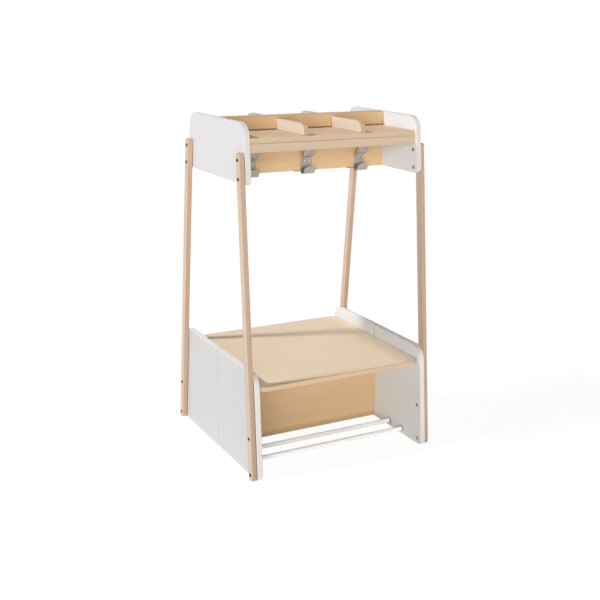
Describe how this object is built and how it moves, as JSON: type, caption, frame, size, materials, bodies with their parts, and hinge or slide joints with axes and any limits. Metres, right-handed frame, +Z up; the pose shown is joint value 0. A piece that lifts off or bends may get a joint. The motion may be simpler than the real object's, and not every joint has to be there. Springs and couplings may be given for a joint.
{
  "type": "kids coat rack bench",
  "caption": "Double-sided bench for children with a board seat between white panels, shoe rails, leaning legs, and an upper unit with coat hooks and open shelves",
  "frame": {"origin": "on the floor, under the middle of the bench", "axes": "+Z up, -Y to the front that the picture shows, -X to the left leg and panel; the object is alike front to back and left to right"},
  "size_m": [0.7264, 0.6764, 1.2],
  "materials": {
    "white_panel": "satin white laminate on board, white lipped edges",
    "seat_veneer": "satin beech, clear lacquer",
    "board_veneer": "satin beech, clear lacquer",
    "shelf_veneer": "satin beech, clear lacquer",
    "leg_beech": "satin solid beech, clear lacquer",
    "hook_steel": "satin grey coated steel",
    "screw_zinc": "bright zinc plate",
    "bolt_dark": "dark bronze plate, satin",
    "rail_enamel": "white enamel, satin"
  },
  "bodies": {
    "root": {"seat_board": "seat_veneer", "upper_centre_board": "board_veneer", "upper_end_panel_left": "white_panel", "upper_end_panel_right": "white_panel", "bench_side_front_left": "white_panel", "bench_side_front_right": "white_panel", "bench_centre_board_front": "board_veneer", "shoe_rail_front_outer": "rail_enamel", "shoe_rail_front_inner": "rail_enamel", "shelf_front": "shelf_veneer", "shelf_edge_rail_front": "shelf_veneer", "divider_front_1": "shelf_veneer", "divider_front_2": "shelf_veneer", "hook_front_1": "hook_steel", "hook_front_2": "hook_steel", "hook_front_3": "hook_steel", "hook_screw_front_1": "screw_zinc", "hook_screw_front_2": "screw_zinc", "hook_screw_front_3": "screw_zinc", "hook_screw_front_4": "screw_zinc", "hook_screw_front_5": "screw_zinc", "hook_screw_front_6": "screw_zinc", "leg_front_left": "leg_beech", "bolt_front_left_1": "bolt_dark", "bolt_front_left_2": "bolt_dark", "bolt_front_left_3": "bolt_dark", "bolt_front_left_4": "bolt_dark", "leg_front_right": "leg_beech", "bolt_front_right_1": "bolt_dark", "bolt_front_right_2": "bolt_dark", "bolt_front_right_3": "bolt_dark", "bolt_front_right_4": "bolt_dark", "bench_side_rear_left": "white_panel", "bench_side_rear_right": "white_panel", "bench_centre_board_rear": "board_veneer", "shoe_rail_rear_outer": "rail_enamel", "shoe_rail_rear_inner": "rail_enamel", "shelf_rear": "shelf_veneer", "shelf_edge_rail_rear": "shelf_veneer", "divider_rear_1": "shelf_veneer", "divider_rear_2": "shelf_veneer", "hook_rear_1": "hook_steel", "hook_rear_2": "hook_steel", "hook_rear_3": "hook_steel", "hook_screw_rear_1": "screw_zinc", "hook_screw_rear_2": "screw_zinc", "hook_screw_rear_3": "screw_zinc", "hook_screw_rear_4": "screw_zinc", "hook_screw_rear_5": "screw_zinc", "hook_screw_rear_6": "screw_zinc", "leg_rear_left": "leg_beech", "bolt_rear_left_1": "bolt_dark", "bolt_rear_left_2": "bolt_dark", "bolt_rear_left_3": "bolt_dark", "bolt_rear_left_4": "bolt_dark", "leg_rear_right": "leg_beech", "bolt_rear_right_1": "bolt_dark", "bolt_rear_right_2": "bolt_dark", "bolt_rear_right_3": "bolt_dark", "bolt_rear_right_4": "bolt_dark"}
  },
  "joints": []
}
